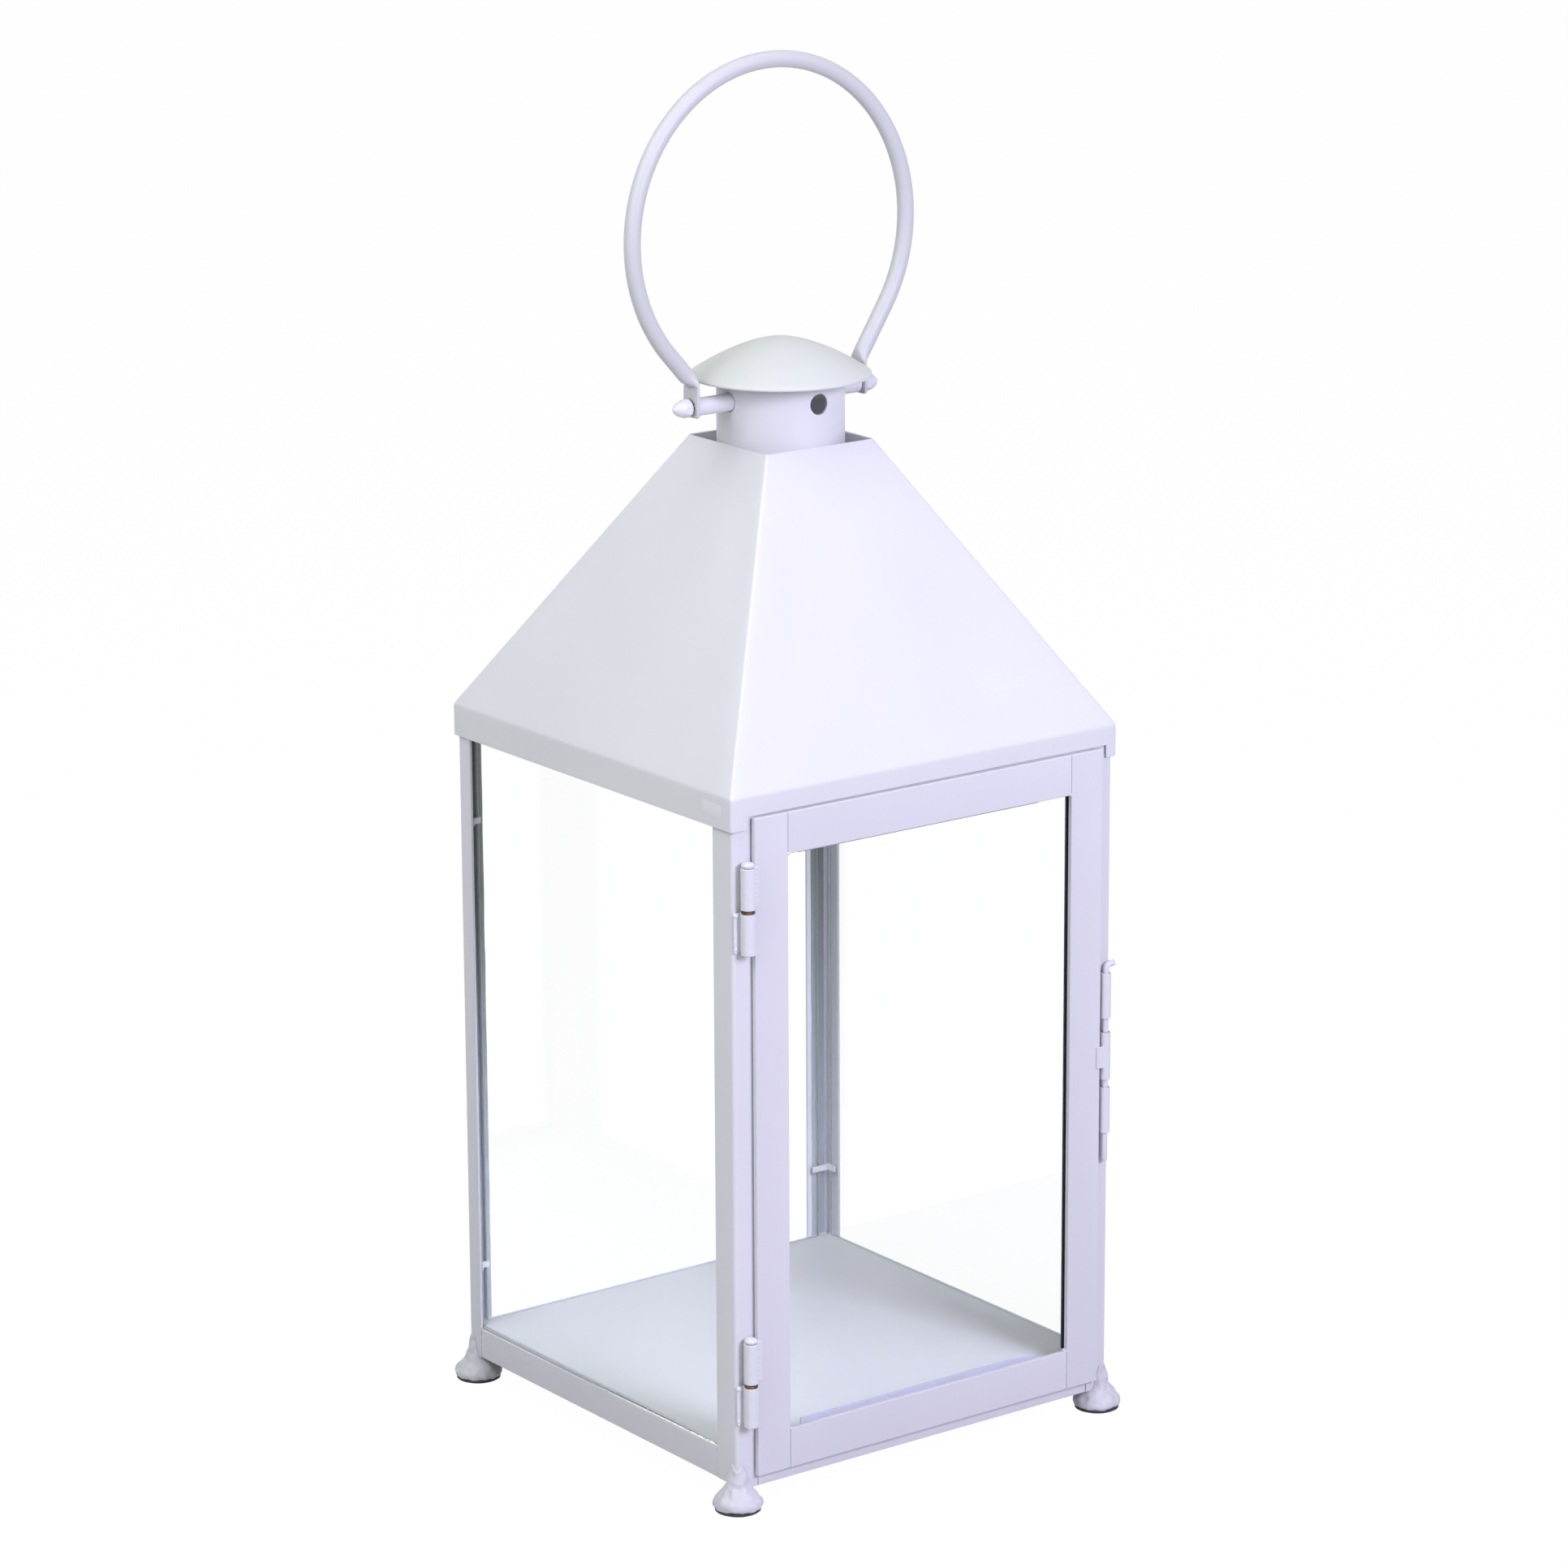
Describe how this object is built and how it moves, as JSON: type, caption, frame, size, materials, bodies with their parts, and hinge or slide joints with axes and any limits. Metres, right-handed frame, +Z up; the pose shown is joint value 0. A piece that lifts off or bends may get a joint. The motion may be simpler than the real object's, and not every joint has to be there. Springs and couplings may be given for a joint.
{
  "type": "candle lantern",
  "caption": "Square glazed metal candle lantern with a hinged door, drop-pin latch, pyramid roof, vented chimney with a domed cap and a swinging ring handle.",
  "frame": {"origin": "on the ground, under the centre of the square plan", "axes": "+Z up, the door faces -Y, its hinges are at -X and its latch at +X"},
  "size_m": [0.302, 0.302, 0.8289],
  "materials": {
    "white_powder_coat": "satin white powder coat with a fine texture",
    "clear_glass": "clear float glass with a faint green edge",
    "black_rubber": "matt black rubber",
    "bare_brass": "bare dull brass",
    "zinc_steel": "zinc-plated steel"
  },
  "bodies": {
    "lantern_body": {"floor_plate": "white_powder_coat", "base_rail_left": "white_powder_coat", "base_rail_right": "white_powder_coat", "base_rail_back": "white_powder_coat", "base_rail_front": "white_powder_coat", "head_rail_front": "white_powder_coat", "post_front_left": "white_powder_coat", "post_front_right": "white_powder_coat", "post_back_left": "white_powder_coat", "post_back_right": "white_powder_coat", "foot_front_left": "white_powder_coat", "foot_front_right": "white_powder_coat", "foot_back_left": "white_powder_coat", "foot_back_right": "white_powder_coat", "pad_front_left": "black_rubber", "pad_front_right": "black_rubber", "pad_back_left": "black_rubber", "pad_back_right": "black_rubber", "roof_shell": "white_powder_coat", "chimney_collar": "white_powder_coat", "chimney_cap": "white_powder_coat", "crossbar_sleeve": "white_powder_coat", "glass_left": "clear_glass", "glass_right": "clear_glass", "glass_back": "clear_glass", "glass_clips_back": "white_powder_coat", "glass_clips_front": "white_powder_coat", "hinge_post_knuckle_upper": "white_powder_coat", "hinge_post_knuckle_lower": "white_powder_coat", "hinge_pin_upper": "white_powder_coat", "hinge_pin_lower": "white_powder_coat", "hinge_washers": "bare_brass", "latch_guides": "white_powder_coat"},
    "door": {"door_stile_hinge": "white_powder_coat", "door_stile_latch": "white_powder_coat", "door_rail_top": "white_powder_coat", "door_rail_bottom": "white_powder_coat", "door_glass": "clear_glass", "door_glass_seal": "black_rubber", "door_retainer_bottom": "white_powder_coat", "door_retainer_top": "white_powder_coat", "hinge_door_knuckle_upper": "white_powder_coat", "hinge_door_knuckle_lower": "white_powder_coat", "latch_keeper": "white_powder_coat"},
    "latch_pin": {"latch_pin": "white_powder_coat"},
    "handle": {"handle_ring": "white_powder_coat", "handle_ears": "white_powder_coat", "handle_tie_rod": "zinc_steel", "lock_washers": "zinc_steel", "acorn_nuts": "white_powder_coat"}
  },
  "joints": [
    {"name": "door_swing", "type": "hinge", "parent": "lantern_body", "child": "door", "pos_m": [-0.1327, -0.1452, 0.22], "axis": [0, 0, -1], "range_deg": [0, 190]},
    {"name": "latch_pin_lift", "type": "slide", "parent": "lantern_body", "child": "latch_pin", "axis": [0, 0, 1], "range_m": [0, 0.084]},
    {"name": "handle_swing", "type": "hinge", "parent": "lantern_body", "child": "handle", "pos_m": [-0.0032, 0, 0.6256], "axis": [1, 0, 0], "range_deg": [-135, 135]}
  ]
}
